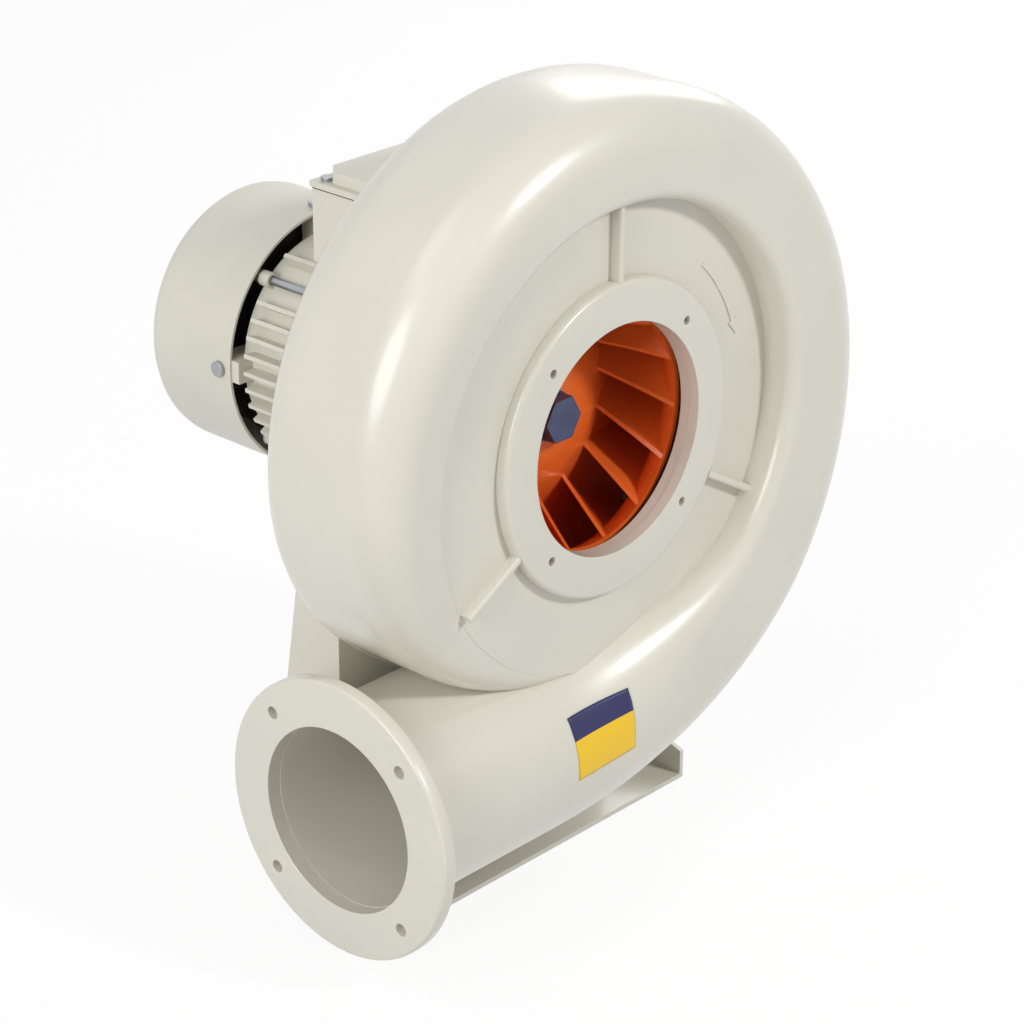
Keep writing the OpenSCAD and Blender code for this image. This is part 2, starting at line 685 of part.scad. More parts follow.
// Ball bearings
module groove(y) turned_groove(y + bearing_w / 2);
module turned_groove(y) on_shaft() translate([0, 0, -y]) rotate_extrude()
    translate([bearing_pitch_r, 0]) circle(r = ball_r + running_gap);
module outer_race(y) difference() {
    ring(y, y + bearing_w, bearing_outer_r - race_t, bearing_outer_r);
    groove(y);
}
module inner_race(y) difference() {
    ring(y, y + bearing_w, bearing_bore_r, bearing_bore_r + race_t);
    groove(y);
}
module balls(y, r) around(balls_n, 0, bearing_pitch_r) translate([0, 0, -y - bearing_w / 2]) sphere(r = r);
module cage(y) difference() {
    ring(y + (bearing_w - cage_w) / 2, y + (bearing_w + cage_w) / 2, bearing_pitch_r - cage_t / 2,
         bearing_pitch_r + cage_t / 2);
    around(balls_n, 0, bearing_bore_r) translate([0, 0, -y - bearing_w / 2]) rotate([0, quarter_turn, 0])
        cylinder(h = bearing_outer_r - bearing_bore_r, r = ball_r + pocket_gap);
}
module front_bearing_outer_race() color(steel) outer_race(front_bearing);
module front_bearing_inner_race() color(steel) inner_race(front_bearing);
module front_bearing_balls() color(steel) balls(front_bearing, ball_r);
module front_bearing_cage() color(brass) cage(front_bearing);
module rear_bearing_outer_race() color(steel) outer_race(rear_bearing);
module rear_bearing_inner_race() color(steel) inner_race(rear_bearing);
module rear_bearing_balls() color(steel) balls(rear_bearing, ball_r);
module rear_bearing_cage() color(brass) cage(rear_bearing);
module preload_washer() color(steel)
    ring(rear_bearing + bearing_w, rear_seat_back, bearing_outer_r - race_t, bearing_outer_r);

// Rotor
module key_block(y0, y1, h) on_shaft() translate([shaft_r - key_sunk, -key_w / 2, -y1])
    cube([h, key_w, y1 - y0]);
module motor_shaft() color(steel) difference() {
    turned([[0, -shaft_end], [shaft_r, -shaft_end], [shaft_r, front_bearing], [bearing_bore_r, front_bearing],
            [bearing_bore_r, front_bearing + bearing_w], [shoulder_r, front_bearing + bearing_w],
            [shoulder_r, core_front - end_ring_l], [core_seat_r, core_front - end_ring_l],
            [core_seat_r, core_back + end_ring_l], [shoulder_r, core_back + end_ring_l],
            [shoulder_r, rear_bearing], [bearing_bore_r, rear_bearing], [bearing_bore_r, rear_bearing + bearing_w],
            [fan_seat_r, rear_bearing + bearing_w], [fan_seat_r, shaft_tail], [0, shaft_tail]]);
    on_shaft() bar(-shaft_end - over, -shaft_end + bolt_hole_l, bolt_r);
    key_block(-key_front, key_l - key_front, key_sunk + over);
    ring(fan_front + fan_hub_l, fan_front + fan_hub_l + circlip_t, fan_seat_r - circlip_t, fan_seat_r + over);
}
module impeller_key() color(steel) key_block(-key_front, key_l - key_front, key_h);
module rotor_core() color(steel) ring(core_front, core_back, core_seat_r, rotor_r);
module rotor_end_rings() color(bare_aluminium) {
    for (y = [core_front - end_ring_l, core_back]) ring(y, y + end_ring_l, end_ring_in, rotor_r - air_gap);
}
module impeller_spacer() color(steel) ring(-hub_back, front_bearing, shaft_r + slip, spacer_r);

// Impeller: places are radius shares of the impeller's radius and height shares between plate and eye
plate_gap = 5;
eye_gap = 4;
eye_step = 0.5;
back_plate_face = cover_t + plate_gap;
plate_front = back_plate_face + plate_t;
eye_level = disc_level - casing_wall - eye_gap;
eye_r = inlet_r + eye_step;
edge_level = plate_front + impeller_width;
hub_shares = [[0, 1], [0.09, 0.97], [0.2, 0.87], [0.3, 0.7], [0.42, 0.44], [0.56, 0.22], [0.76, 0.06], [1, 0]];
shroud_shares = [[0, 1], [0.05, 0.78], [0.14, 0.56], [0.28, 0.37], [0.5, 0.18], [0.76, 0.06], [1, 0]];
function hub_point(s) = [mix(hub_nose_r, impeller_r, s[0]), mix(plate_front, hub_nose, s[1])];
function shroud_point(s) = [mix(eye_r, impeller_r, s[0]), mix(edge_level, eye_level, s[1])];
hub_curve = [for (s = hub_shares) hub_point(s)];
shroud_curve = [for (s = shroud_shares) shroud_point(s)];
lead_shares = [0.28, 0.74];
lead_root = hub_point(lead_shares);
blade_tip_gap = 1.5;
blade_curve_r = 150;
blade_mid = (plate_front + eye_level) / 2;
blade_base_r = 30;
blade_entry = 12;
// One blade: part of a leaning round shell
module blade_shell() translate([blade_base_r, 0, blade_mid]) rotate([blade_lean, 0, blade_entry])
    translate([0, blade_curve_r, 0]) difference() {
        cylinder(h = 3 * eye_level, r = blade_curve_r + blade_t / 2, center = true);
        cylinder(h = 3 * eye_level + over, r = blade_curve_r - blade_t / 2, center = true);
    }
// The half ring of space that the blades fill, about one blade
module blade_space() rotate([0, 0, -quarter_turn]) rotate_extrude(angle = half_turn) polygon(concat(
    [lead_root - [over, over]],
    [for (p = hub_curve) if (p[0] > lead_root[0]) [min(p[0], impeller_r - blade_tip_gap), p[1] - over]],
    [for (i = [len(shroud_curve) - 1:-1:1])
        [min(shroud_curve[i][0], impeller_r - blade_tip_gap), shroud_curve[i][1] + over]],
    [shroud_curve[0] + [over, -seam]]));
module impeller() color(orange) difference() {
    on_shaft() {
        rotate_extrude() polygon(concat([[shaft_r + slip, hub_nose]], hub_curve,
            [[impeller_r, back_plate_face], [spacer_r + over, back_plate_face], [spacer_r + over, hub_back],
             [shaft_r + slip, hub_back]]));
        rotate_extrude() polygon(concat(shroud_curve, [for (i = [len(shroud_curve) - 1:-1:0])
            shroud_curve[i] + (i == 0 ? [plate_t, 0] : [plate_t / 2, plate_t])]));
        for (i = [0:blades_n - 1]) rotate([0, 0, 2 * half_turn * i / blades_n]) intersection() {
            blade_shell();
            blade_space();
        }
    }
    key_block(-hub_nose - over, -hub_back + over, key_h + slip);
}
module impeller_washer() color(dark_steel)
    ring(-hub_nose - washer_t, -hub_nose, bolt_r + screw_gap, washer_r);
module impeller_bolt() color(dark_steel) on_shaft() {
    bar(-hub_nose - washer_t - over, -shaft_end + bolt_hole_l - over, bolt_r - slip);
    hex_bar(-hub_nose - washer_t - bolt_head_h, -hub_nose - washer_t, bolt_head_r);
}

// Cooling fan and cowl
fan_plate_t = 2.5;
fan_hub_r = 18;
fan_blade_t = 2;
fan_blade_short = 6;
fan_blade_l = fan_hub_l - fan_blade_short;
module cooling_fan() color(black) {
    ring(fan_front, fan_front + fan_hub_l, fan_seat_r + slip, fan_hub_r);
    ring(fan_front, fan_front + fan_plate_t, fan_hub_r - over, fan_r);
    on_shaft() for (i = [0:fan_blades_n - 1]) rotate([0, 0, 2 * half_turn * i / fan_blades_n])
        translate([fan_hub_r - over, -fan_blade_t / 2, -fan_front - fan_blade_l])
            cube([fan_r - fan_hub_r, fan_blade_t, fan_blade_l]);
}
module fan_circlip() color(steel) difference() {
    ring(fan_front + fan_hub_l, fan_front + fan_hub_l + circlip_t, fan_seat_r - circlip_t, fan_seat_r + 2 * circlip_t);
    on_shaft() translate([0, -circlip_t, -fan_front - fan_hub_l - 2 * circlip_t])
        cube([2 * fan_seat_r, 2 * circlip_t, 3 * circlip_t]);
}
function bend_points(r, edge) = [for (i = [0:corner_steps])
    [r - edge + edge * cos(quarter_turn * i / corner_steps),
     cowl_back - (cowl_r - r) - edge + edge * sin(quarter_turn * i / corner_steps)]];
module fan_cowl() color(enamel) difference() {
    turned(concat([[cowl_bore_r, cowl_front], [cowl_r, cowl_front]], bend_points(cowl_r, cowl_bend),
        [[0, cowl_back], [0, cowl_back - cowl_wall]],
        [for (i = [corner_steps:-1:0]) bend_points(cowl_bore_r, cowl_bend - cowl_wall)[i]]));
    at_cowl_screws() bar_out(cowl_bore_r - over, cowl_r + over, cowl_screw_r + slip);
    difference() {
        for (i = [0:grille_rings - 1]) ring(cowl_back - 2 * cowl_wall, cowl_back + over,
            grille_first + grille_pitch * i, grille_first + grille_pitch * i + grille_slot);
        on_shaft() for (i = [1:quarters]) rotate([0, 0, eighth_turn + quarter_turn * i])
            translate([0, -grille_bar / 2, -cowl_back - 2 * over])
                cube([cowl_r, grille_bar, 2 * cowl_wall + 4 * over]);
    }
}
module cowl_screws() color(steel) at_cowl_screws() {
    bar_out(lug_r - cowl_screw_l, cowl_r + over, cowl_screw_r - slip);
    bar_out(cowl_r, cowl_r + cowl_screw_head_h, cowl_screw_head_r);
}

// Terminal box
module box_bar(r, x, y, z0, z1) translate([x, box_mid + y, shaft_height + z0]) cylinder(h = z1 - z0, r = r);
module box_block(w, l, z0, z1) block(w, l, z1 - z0, 0, box_mid, shaft_height + z0);
lid_screw_x = box_w / 2 - lid_screw_in;
lid_screw_y = box_l / 2 - lid_screw_in;
module terminal_box() color(enamel) difference() {
    box_block(box_w, box_l, box_floor_z, box_top_z);
    difference() {
        box_block(box_w - 2 * box_wall, box_l - 2 * box_wall, box_floor_z + box_wall, box_top_z + over);
        for (x = [-1, 1], y = [-1, 1]) block(lid_boss, lid_boss, box_h,
            x * (box_w - lid_boss) / 2, box_mid + y * (box_l - lid_boss) / 2, shaft_height + box_floor_z);
    }
    for (x = [-1, 1], y = [-1, 1])
        box_bar(lid_screw_r, x * lid_screw_x, y * lid_screw_y, lid_z + lid_step_h - lid_screw_l, box_top_z + over);
    box_bar(wire_hole_r, 0, 0, box_floor_z - over, box_floor_z + box_wall + over);
    at_box_screws() cylinder(h = 2 * (seal_t + box_wall) + over, r = box_screw_r + screw_gap, center = true);
    translate([gland_x - box_wall - over, box_mid, shaft_height + gland_z]) rotate([0, quarter_turn, 0])
        cylinder(h = box_wall + 2 * over, r = gland_thread_r);
}
module box_floor_gasket() color(black) difference() {
    box_block(pad_w, pad_l, pad_top, box_floor_z);
    box_bar(wire_hole_r, 0, 0, pad_top - over, box_floor_z + over);
    at_box_screws() cylinder(h = 3 * seal_t, r = box_screw_r + screw_gap, center = true);
}
module box_screws() color(steel) at_box_screws() {
    translate([0, 0, seal_t + box_wall - box_screw_l]) cylinder(h = box_screw_l + seal_t, r = box_screw_r - slip);
    translate([0, 0, seal_t + box_wall]) cylinder(h = lid_screw_head_h, r = lid_screw_head_r);
}
block_lift = 6;
block_foot = 6;
block_foot_l = 2 * (box_screw_y - 2 * lid_screw_head_r);
block_z = box_floor_z + box_wall + block_lift;
module terminal_block() color(black) difference() {
    union() {
        box_block(block_w, block_l, block_z, block_z + block_h);
        for (x = [-1, 1])
            box_block_at(x * (block_w - block_foot) / 2, block_foot, block_foot_l, box_floor_z + box_wall,
                         block_z + over);
    }
    at_studs() translate([0, 0, block_z + block_h - stud_h / 2]) cylinder(h = stud_h, r = stud_r);
}
module box_block_at(x, w, l, z0, z1) block(w, l, z1 - z0, x, box_mid, shaft_height + z0);
module at_studs() for (x = [-1:1], y = [-1, 1])
    translate([x * stud_pitch, box_mid + y * stud_row, shaft_height]) children();
module terminal_studs() color(brass) at_studs() {
    translate([0, 0, block_z + block_h - stud_h / 2]) cylinder(h = stud_h, r = stud_r - slip);
    translate([0, 0, block_z + block_h + link_t]) cylinder(h = nut_h, r = nut_r, $fn = hexagon);
}
module terminal_links() color(brass) difference() {
    for (x = [-1:1]) translate([x * stud_pitch - nut_r, box_mid - stud_row - nut_r, shaft_height + block_z + block_h])
        cube([2 * nut_r, 2 * (stud_row + nut_r), link_t]);
    at_studs() translate([0, 0, block_z]) cylinder(h = 2 * block_h, r = stud_r + slip);
}
earth_in = 8;
earth_l = 6;
earth_nut = 2;
earth_x = -box_w / 2 + box_wall + earth_in;
module earth_screw() color(brass) translate([earth_x, box_mid, shaft_height + box_floor_z + box_wall]) {
    cylinder(h = earth_l, r = stud_r);
    translate([0, 0, earth_nut]) cylinder(h = nut_h, r = nut_r, $fn = hexagon);
    cylinder(h = earth_nut + link_t, r = nut_r + link_t);
}
module lid_gasket() color(black) difference() {
    box_block(box_w, box_l, box_top_z, lid_z);
    box_block(box_w - 2 * box_wall, box_l - 2 * box_wall, box_top_z - over, lid_z + over);
}
module terminal_box_lid() color(enamel) difference() {
    union() {
        box_block(box_w + 2 * lid_lap, box_l + 2 * lid_lap, lid_z, lid_z + lid_step_h);
        box_block(box_w - 2 * lid_screw_in, box_l + 2 * lid_lap, lid_z, lid_z + lid_step_h);
        intersection() {
            box_block(box_w - 2 * lid_step, box_l - 2 * lid_step, lid_z, lid_z + lid_h);
            union() {
                box_block(box_w, box_l - 4 * lid_screw_in, lid_z, lid_z + lid_h);
                box_block(box_w - 4 * lid_screw_in, box_l, lid_z, lid_z + lid_h);
            }
        }
    }
    box_block(box_w - 4 * lid_step - 2 * lid_wall, box_l - 4 * lid_screw_in - 2 * lid_wall, lid_z - over,
              lid_z + lid_h - lid_wall);
    for (x = [-1, 1], y = [-1, 1])
        box_bar(lid_screw_r + screw_gap, x * lid_screw_x, y * lid_screw_y, lid_z - over, lid_z + lid_step_h + over);
}
module lid_screws() color(steel) for (x = [-1, 1], y = [-1, 1]) {
    box_bar(lid_screw_r - slip, x * lid_screw_x, y * lid_screw_y, lid_z + lid_step_h - lid_screw_l,
            lid_z + lid_step_h + over);
    box_bar(lid_screw_head_r, x * lid_screw_x, y * lid_screw_y, lid_z + lid_step_h,
            lid_z + lid_step_h + lid_screw_head_h);
}
// Places children on the cable entry's axis, with z running out of the box
module at_gland() translate([gland_x, box_mid, shaft_height + gland_z]) rotate([0, quarter_turn, 0]) children();
gland_thread_l = gland_hex_t + gland_body_l;
module gland_body() color(black) at_gland() difference() {
    union() {
        translate([0, 0, -box_wall]) cylinder(h = box_wall + gland_thread_l, r = gland_thread_r - slip);
        cylinder(h = gland_hex_t, r = gland_hex_r, $fn = hexagon);
    }
    translate([0, 0, -box_wall - over]) cylinder(h = box_wall + gland_thread_l + 2 * over, r = gland_bore_r);
    translate([0, 0, gland_hex_t + over]) cylinder(h = gland_body_l + over, r = gland_seal_r);
}
module gland_seal() color(dark_steel) at_gland() difference() {
    translate([0, 0, gland_hex_t + over]) cylinder(h = gland_body_l - over, r = gland_seal_r - slip);
    cylinder(h = gland_thread_l + over, r = gland_bore_r);
}
module gland_cap() color(black) at_gland() difference() {
    translate([0, 0, gland_hex_t + cap_gap]) cylinder(h = gland_cap_l + gland_lip_t, r = gland_cap_r);
    translate([0, 0, gland_hex_t - over]) cylinder(h = gland_cap_l + over + cap_gap, r = gland_thread_r + slip);
    cylinder(h = 2 * gland_thread_l, r = gland_bore_r);
}

volute_casing();
inlet_collar();
outlet_flange();
casing_gasket();
rear_cover();
cover_screws();
pedestal();
flange_bolts();
flange_washers();
drive_end_shield();
shaft_seal();
motor_frame();
stator_core();
stator_windings();
rear_end_shield();
tie_bolts();
front_bearing_outer_race();
front_bearing_inner_race();
front_bearing_balls();
front_bearing_cage();
rear_bearing_outer_race();
rear_bearing_inner_race();
rear_bearing_balls();
rear_bearing_cage();
preload_washer();
motor_shaft();
rotor_core();
rotor_end_rings();
impeller_spacer();
impeller_key();
impeller();
impeller_washer();
impeller_bolt();
cooling_fan();
fan_circlip();
fan_cowl();
cowl_screws();
terminal_box();
box_floor_gasket();
box_screws();
terminal_block();
terminal_studs();
terminal_links();
earth_screw();
lid_gasket();
terminal_box_lid();
lid_screws();
gland_body();
gland_seal();
gland_cap();
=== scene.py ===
import json
import math

import bmesh
import bpy
from mathutils import Matrix, Quaternion, Vector

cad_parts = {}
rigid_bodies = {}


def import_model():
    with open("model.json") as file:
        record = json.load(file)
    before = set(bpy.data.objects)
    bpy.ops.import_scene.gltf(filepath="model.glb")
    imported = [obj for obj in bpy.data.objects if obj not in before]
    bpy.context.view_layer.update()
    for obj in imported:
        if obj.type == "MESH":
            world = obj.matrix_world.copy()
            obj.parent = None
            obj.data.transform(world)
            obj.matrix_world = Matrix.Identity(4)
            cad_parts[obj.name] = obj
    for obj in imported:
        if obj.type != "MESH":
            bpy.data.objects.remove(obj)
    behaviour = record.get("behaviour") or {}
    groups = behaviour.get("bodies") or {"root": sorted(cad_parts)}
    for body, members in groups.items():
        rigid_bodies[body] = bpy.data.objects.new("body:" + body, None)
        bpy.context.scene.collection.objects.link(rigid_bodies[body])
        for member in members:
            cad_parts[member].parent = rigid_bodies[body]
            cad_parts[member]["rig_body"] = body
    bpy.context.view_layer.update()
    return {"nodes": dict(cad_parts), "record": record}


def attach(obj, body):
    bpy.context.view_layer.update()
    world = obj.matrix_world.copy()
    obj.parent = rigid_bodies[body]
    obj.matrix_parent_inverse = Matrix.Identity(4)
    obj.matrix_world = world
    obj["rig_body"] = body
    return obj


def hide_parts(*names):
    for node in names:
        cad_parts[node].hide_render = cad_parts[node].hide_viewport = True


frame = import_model()

bl_info = {
    "name": "Centrifugal blower",
    "version": (1, 0, 0),
    "blender": (4, 5, 0),
    "location": "View3D > Sidebar > Blower",
    "description": "Finishes a direct-drive centrifugal blower round its packed CAD model",
    "category": "Object",
}

MM = 0.001
# Vertices closer than this are one, when a CAD node's loose triangles are merged
MERGE = 0.000002
# Faces that meet at less than this share one smooth shade
SMOOTH = math.radians(32)
# Neighbouring faces flatter than this are one plane
FLAT = math.radians(0.4)

# Share of each noise's range that a finish's two shades lie at
SHADE_ENDS = (0.3, 0.7)
COAT_ROUGHNESS = 0.12
# Segments across a rounded edge: of the modifier, of a chosen rim and of a rib
EDGE_STEPS, ROLL_STEPS, RIB_STEPS = 2, 4, 3

SLOTS = {part["node"]: part["material_slot"] for part in frame["record"]["subparts"]}


def linear(colour):
    """Turns an sRGB hex colour into linear red, green, blue and alpha."""
    shares = [int(colour[i:i + 2], 16) / 255 for i in (1, 3, 5)]
    return tuple(c / 12.92 if c <= 0.04045 else ((c + 0.055) / 1.055) ** 2.4 for c in shares) + (1.0,)


def colour_property(name, description, default):
    return bpy.props.FloatVectorProperty(
        name=name, description=description, default=linear(default), size=4, min=0.0, max=1.0, subtype="COLOR")


def length_property(name, description, default_mm, most_mm):
    return bpy.props.FloatProperty(
        name=name, description=description, default=default_mm * MM, min=0.0, max=most_mm * MM,
        subtype="DISTANCE", unit="LENGTH", precision=4)


class BlowerColours(bpy.types.PropertyGroup):
    """Colours of the blower's finishes"""
    enamel: colour_property("Enamel", "Pebble-beige enamel of casing, stand and motor", "#D6D3C6")
    orange: colour_property("Impeller enamel", "Orange enamel of the impeller", "#EE6F2B")
    bolt: colour_property("Blued steel", "Dark blued steel of the impeller's bolt", "#465070")
    zinc: colour_property("Zinc", "Zinc-plated screws", "#A9ABAE")
    steel: colour_property("Steel", "Ground and turned steel", "#8F9195")
    aluminium: colour_property("Aluminium", "Bare cast aluminium", "#B9BBBD")
    copper: colour_property("Copper", "Varnished copper windings", "#A9602F")
    brass: colour_property("Brass", "Brass terminals and cages", "#B8923A")
    rubber: colour_property("Rubber", "Black nitrile rubber", "#1A1A1A")
    plastic: colour_property("Polyamide", "Black moulded polyamide", "#202122")
    label_blue: colour_property("Label band", "Dark blue part of the blank label", "#1E1E54")
    label_yellow: colour_property("Label field", "Yellow part of the blank label", "#F0C419")
    backdrop: colour_property("Background", "White background, and what shows of the floor", "#FFFFFF")
    floor: colour_property("Floor", "Pale grey that the floor throws back on the object", "#CFCFCF")


class BlowerSizes(bpy.types.PropertyGroup):
    """Sizes of the blower's surface details"""
    cast_edge: length_property("Cast edge", "Radius that rounds the edges of castings", 1.2, 3)
    sheet_edge: length_property("Sheet edge", "Radius that rounds the edges of sheet and machined pieces", 0.5, 2)
    collar_edge: length_property("Collar edge", "Radius of the inlet collar's outer edge", 3.0, 5)
    flange_edge: length_property("Flange edge", "Radius of the outlet flange's outer edges", 1.8, 4)
    screw_edge: length_property("Screw edge", "Chamfer of screw heads", 0.35, 1)
    orange_peel: length_property("Orange peel", "Width of the enamel's ripples", 3.0, 12)
    patina: length_property("Shade patches", "Width of the enamel's faint shade patches", 70, 300)
    label_w: length_property("Label width", "Width of the blank label", 46, 60)
    label_h: length_property("Label height", "Height of the blank label", 36, 42)


def colours():
    return bpy.context.scene.blower_colours


def sizes():
    return bpy.context.scene.blower_sizes


# Materials

def add(tree, kind, settings=None, links=None):
    """Adds a node with its settings and links; a key is an input socket's name or else a property's."""
    node = tree.nodes.new(kind)
    for key, value in (settings or {}).items():
        if isinstance(key, int) or key in node.inputs:
            node.inputs[key].default_value = value
        else:
            setattr(node, key, value)
    for key, output in (links or {}).items():
        tree.links.new(output, node.inputs[key])
    return node


def blank(name):
    material = bpy.data.materials.new(name)
    material.use_nodes = True
    tree = material.node_tree
    return material, tree, tree.nodes["Principled BSDF"]


def surface(name, colour, grain_mm, patch_mm, shade, roughness, spread, bump_mm, metallic=0.0, coat=0.0,
            stretch=(1, 1, 1)):
    """A material with grain of grain_mm, shade patches of patch_mm, and roughness that wanders by spread."""
    material, tree, shader = blank(name)
    place = add(tree, "ShaderNodeTexCoord").outputs["Object"]
    stretched = add(tree, "ShaderNodeMapping", {"Scale": stretch}, {"Vector": place}).outputs["Vector"]
    patches = add(tree, "ShaderNodeTexNoise", {"Scale": 1 / (patch_mm * MM), "Detail": 3.0}, {"Vector": place})
    grain = add(tree, "ShaderNodeTexNoise", {"Scale": 1 / (grain_mm * MM), "Detail": 2.0}, {"Vector": stretched})
    tint = add(tree, "ShaderNodeValToRGB", links={"Fac": patches.outputs["Fac"]})
    dark, light = tint.color_ramp.elements
    dark.position, light.position = SHADE_ENDS
    dark.color = [c * (1 - shade) for c in colour[:3]] + [1]
    light.color = [min(1, c * (1 + shade)) for c in colour[:3]] + [1]
    rough = add(tree, "ShaderNodeMapRange", {"To Min": roughness - spread, "To Max": roughness + spread},
                {"Value": grain.outputs["Fac"]})
    bump = add(tree, "ShaderNodeBump", {"Strength": 1.0, "Distance": bump_mm * MM},
               {"Height": grain.outputs["Fac"]})
    tree.links.new(tint.outputs["Color"], shader.inputs["Base Color"])
    tree.links.new(rough.outputs["Result"], shader.inputs["Roughness"])
    tree.links.new(bump.outputs["Normal"], shader.inputs["Normal"])
    shader.inputs["Metallic"].default_value = metallic
    shader.inputs["Coat Weight"].default_value = coat
    shader.inputs["Coat Roughness"].default_value = COAT_ROUGHNESS
    return material


def make_materials():
    c, s = colours(), sizes()
    peel, patina = s.orange_peel / MM, s.patina / MM
    return {
        # Sprayed and stoved enamel on a casting: semi-gloss, with a soft orange-peel ripple over the sand skin
        "casing_enamel": surface("stoved enamel on cast aluminium", c.enamel, peel, patina, 0.02, 0.3, 0.04, 0.035,
                                 coat=0.25),
        # The same enamel on folded steel sheet, which lies flatter
        "stand_enamel": surface("stoved enamel on steel sheet", c.enamel, 1.6 * peel, patina, 0.02, 0.3, 0.04, 0.02,
                                coat=0.25),
        # Enamel on the motor's ribbed casting: a little duller, with a finer skin
        "motor_enamel": surface("stoved enamel on motor casting", c.enamel, 0.7 * peel, 0.6 * patina, 0.03, 0.38,
                                0.05, 0.03, coat=0.1),
        # Orange enamel on the cast impeller: glossy, with faint runs of shade
        "impeller_enamel": surface("orange enamel on cast aluminium", c.orange, 4, 45, 0.04, 0.3, 0.04, 0.012,
                                   coat=0.35),
        # Oil-blued steel: dark, half dull, with a cloudy oxide
        "blackened_steel": surface("blued steel", c.bolt, 0.8, 9, 0.18, 0.36, 0.08, 0.012, metallic=0.4),
        # Zinc plate: grey and fine-grained, with cloudy spangle
        "zinc_steel": surface("zinc-plated steel", c.zinc, 0.6, 4, 0.08, 0.36, 0.08, 0.006, metallic=1.0),
        # Ground steel: fine turning marks round the shaft
        "machined_steel": surface("ground steel", c.steel, 0.7, 12, 0.06, 0.3, 0.08, 0.006, metallic=1.0,
                                  stretch=(1, 4, 1)),
        # Die-cast aluminium, dull and slightly mottled
        "cast_aluminium": surface("bare cast aluminium", c.aluminium, 1.2, 10, 0.07, 0.45, 0.08, 0.02, metallic=1.0),
        # Copper wire under varnish: fine turns show as ripples round the ring
        "winding_copper": surface("varnished copper wire", c.copper, 1.1, 8, 0.14, 0.35, 0.1, 0.12, metallic=0.9,
                                  coat=0.4, stretch=(1, 3, 1)),
        # Turned brass
        "terminal_brass": surface("turned brass", c.brass, 0.6, 6, 0.08, 0.3, 0.07, 0.006, metallic=1.0),
        # Nitrile rubber: matt black with a faint bloom
        "gasket_rubber": surface("nitrile rubber", c.rubber, 0.8, 8, 0.2, 0.75, 0.08, 0.02),
        # Moulded polyamide: fine spark-eroded grain
        "black_plastic": surface("moulded polyamide", c.plastic, 0.5, 14, 0.1, 0.52, 0.06, 0.012),
    }


MATERIALS = {}


def finish(piece, slot):
    if not MATERIALS:
        MATERIALS.update(make_materials())
    piece.data.materials.clear()
    piece.data.materials.append(MATERIALS[slot])


# Pieces

def link(name, mesh):
    piece = bpy.data.objects.new(name, mesh)
    bpy.context.scene.collection.objects.link(piece)
    return piece


def shade(bm):
    for face in bm.faces:
        face.smooth = True
    for edge in bm.edges:
        edge.smooth = edge.is_manifold and edge.calc_face_angle(0) < SMOOTH


def merged(node, flatten=True):
    """A bmesh of a CAD node with its loose triangles joined and, if flatten, its planes made whole."""
    bm = bmesh.new()
    bm.from_mesh(frame["nodes"][node].data)
    bmesh.ops.remove_doubles(bm, verts=bm.verts, dist=MERGE)
    if flatten:
        bmesh.ops.dissolve_limit(bm, angle_limit=FLAT, verts=bm.verts, edges=bm.edges)
    return bm


def stand_for(piece, node):
    finish(piece, SLOTS[node])
    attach(piece, frame["nodes"][node]["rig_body"])
    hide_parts(node)


def dress(node, edge=0.0, flatten=True, roll=0.0, rolled=None):
    """Replaces a CAD node by a merged, smoothly shaded copy with rounded edges.

    The edges between vertices whose places pass the test rolled get the larger radius roll."""
    bm = merged(node, flatten)
    if roll:
        chosen = [line for line in bm.edges if all(rolled(vert.co / MM) for vert in line.verts)
                  and line.calc_face_angle(0) > SMOOTH]
        bmesh.ops.bevel(bm, geom=chosen, offset=roll, segments=ROLL_STEPS, profile=0.5, affect="EDGES", material=-1)
    shade(bm)
    mesh = bpy.data.meshes.new(node + "_finish")
    bm.to_mesh(mesh)
    bm.free()
    piece = link(node + "_finish", mesh)
    if edge:
        bevel = piece.modifiers.new("rounded edges", "BEVEL")
        bevel.width = edge
        bevel.segments = EDGE_STEPS
        bevel.limit_method = "ANGLE"
        bevel.angle_limit = SMOOTH
        bevel.harden_normals = True
    stand_for(piece, node)
    return piece


class BlowerOperator:
    bl_options = {"REGISTER", "UNDO"}


# The scroll's arcs about the shaft: last angle, centre right and up, radius. They are the CAD casing's, apart
# from the first, which curls in a little more
ARCS = ((180, (-40, 5), 137), (90, (5, 5), 182), (0, (5, -13), 200), (-45, (-1, -13), 206),
        (-90, (-41.32, 27.32), 263.02))
SHAFT_UP, DUCT_DROP, DUCT_R, DEPTH, DISC, RECESS_R = 265, 177.5, 58.5, 117, 96, 131
WALL, SEAM, RIM, ROOM_SHARE, CREST_START = 6, 0.3, 3, 0.7, 0.05
TONGUE, FULL_CREST, ROUNDING_START, BOTTOM = 225, 20, -35, -90
FRONT_SHOULDER, BACK_SHOULDER, SHOULDER_GROWTH, RIM_GROWTH = 24, 44, 10, 6
DUCT_END, START_OVERLAP = 121.2, 50
# The rear cover's seat ring, the chamber and the cover's seat, and the inlet, as radii
REAR_RING_R, CHAMBER_R, COVER_SEAT_R, INLET_R = 158, 139, 152.4, 65.3
REAR_RING_T, COVER_SEAT_T, OVER = 14, 8, 1
# The disc's ribs: their angles, length along the radius, size across the disc, middle and top's rounding
RIB_ANGLES, RIB_SIZE, RIB_PLACE, RIB_TOP = (90, -30, 210), (43.5, 7.5, 4.5), (110.25, -98.75, 0), 1.6
# The arrow's shaft between two radii and two angles, and its head about the shaft's middle radius
ARROW_R, ARROW_TURN, ARROW_HEIGHT, ARROW_STEPS = (105.8, 108.2), (21, 47), (-95.0, -96.8), 16
ARROW_HEAD = ((103.5, 0.5), (110.5, 0.5), (107, -9))
